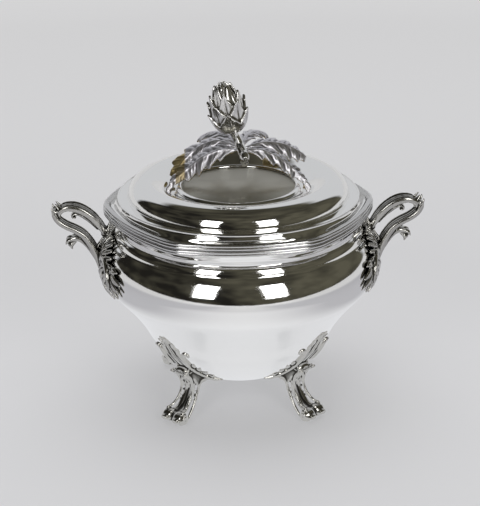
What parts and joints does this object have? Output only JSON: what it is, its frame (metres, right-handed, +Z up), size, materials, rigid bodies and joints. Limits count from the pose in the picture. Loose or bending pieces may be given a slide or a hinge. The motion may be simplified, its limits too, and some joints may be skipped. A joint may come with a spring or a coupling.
{
  "type": "soup tureen",
  "caption": "Round footed soup tureen with a lift-off stepped cover, a leaf and bud finial, scroll handles and a contoured reeded rim.",
  "frame": {"origin": "on the table under the middle of the bowl, the bottom centre of the bounding box", "axes": "+Z up, +X towards the right handle, -Y towards the front where the finial stem hangs forward"},
  "size_m": [0.337, 0.2526, 0.3041],
  "materials": {
    "polished_silver": "mirror-polished silver plate on sheet",
    "cast_silver": "cast and chased silver plate with darkened recesses",
    "reeded_silver": "polished reeded wire, silver plated",
    "brass": "turned brass, unpolished"
  },
  "bodies": {
    "bowl": {"bowl_shell": "polished_silver", "bowl_rim_moulding": "reeded_silver", "foot_rear_right": "cast_silver", "foot_rear_right_shield": "cast_silver", "foot_rear_left": "cast_silver", "foot_rear_left_shield": "cast_silver", "foot_front_left": "cast_silver", "foot_front_left_shield": "cast_silver", "foot_front_right": "cast_silver", "foot_front_right_shield": "cast_silver", "handle_right_scroll": "cast_silver", "handle_right_spur": "cast_silver", "handle_right_neck_leaf": "cast_silver", "handle_right_mount": "cast_silver", "handle_left_scroll": "cast_silver", "handle_left_spur": "cast_silver", "handle_left_neck_leaf": "cast_silver", "handle_left_mount": "cast_silver"},
    "cover": {"cover_shell": "polished_silver", "cover_rim_moulding": "reeded_silver", "cover_bezel": "polished_silver", "cover_bead_ring": "reeded_silver", "finial_stem": "cast_silver", "bud_core": "cast_silver", "bud_scales_inner": "cast_silver", "bud_scales_middle": "cast_silver", "bud_scales_outer": "cast_silver", "leaf_front_left": "cast_silver", "leaf_left": "cast_silver", "leaf_rear_left": "cast_silver", "leaf_rear_right": "cast_silver", "leaf_right": "cast_silver", "leaf_front_right": "cast_silver", "finial_stud_left": "brass", "finial_washer_left": "brass", "finial_nut_left": "brass", "finial_stud_right": "brass", "finial_washer_right": "brass", "finial_nut_right": "brass"}
  },
  "joints": [
    {"name": "cover_lift", "type": "slide", "parent": "bowl", "child": "cover", "axis": [0, 0, 1], "range_m": [0, 0.12]}
  ]
}
